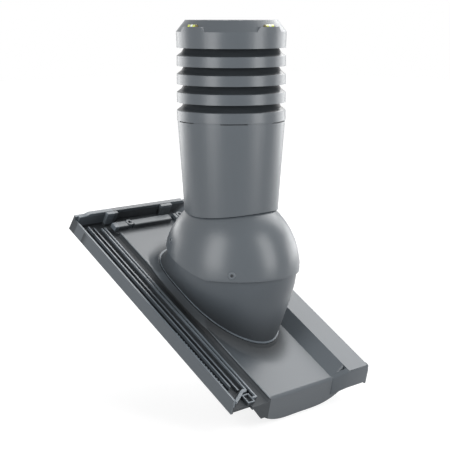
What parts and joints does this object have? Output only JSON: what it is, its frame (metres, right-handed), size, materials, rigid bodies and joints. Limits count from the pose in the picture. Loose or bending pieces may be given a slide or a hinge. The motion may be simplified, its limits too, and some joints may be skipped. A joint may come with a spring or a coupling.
{
  "type": "roof tile vent",
  "caption": "Anthracite plastic roof tile with a louvred vent stack on a ball-shaped base that tilts to suit the roof pitch.",
  "frame": {"origin": "centre of the ball, on the plumb axis of the stack", "axes": "+Z plumb up along the stack, +X across the slope towards the tile's roll side, +Y up the slope in plan; the tile itself lies at a 30 degree pitch about X"},
  "size_m": [0.2696, 0.3839, 0.5602],
  "materials": {
    "tile_plastic": "anthracite, fine satin grain",
    "stack_plastic": "anthracite, fine satin grain",
    "lock_plastic": "satin",
    "pipe_plastic": "smooth",
    "seal_rubber": "matt",
    "screw_steel": "zinc plated",
    "vial_fluid": "clear, yellow-green"
  },
  "bodies": {
    "tile": {"tile_plate": "tile_plastic", "ball_base": "tile_plastic", "base_seal": "seal_rubber", "base_screws": "screw_steel"},
    "stack": {"hood": "stack_plastic", "lock_screw_front_left": "lock_plastic", "lock_screw_front_right": "lock_plastic", "lock_screw_back_left": "lock_plastic", "lock_screw_back_right": "lock_plastic", "clamp_nut_front_left": "lock_plastic", "clamp_nut_front_right": "lock_plastic", "clamp_nut_back_left": "lock_plastic", "clamp_nut_back_right": "lock_plastic", "duct_pipe": "pipe_plastic", "neck_seal": "seal_rubber", "cowl_shell": "stack_plastic", "collar_ring": "stack_plastic", "louvre_ring_lower": "stack_plastic", "louvre_ring_middle": "stack_plastic", "louvre_ring_upper": "stack_plastic", "cap": "stack_plastic", "vial_left": "vial_fluid", "vial_front": "vial_fluid"}
  },
  "joints": [
    {"name": "pitch_tilt", "type": "hinge", "parent": "tile", "child": "stack", "pos_m": [0, 0, 0], "axis": [1, 0, 0], "range_deg": [-12, 13]}
  ]
}
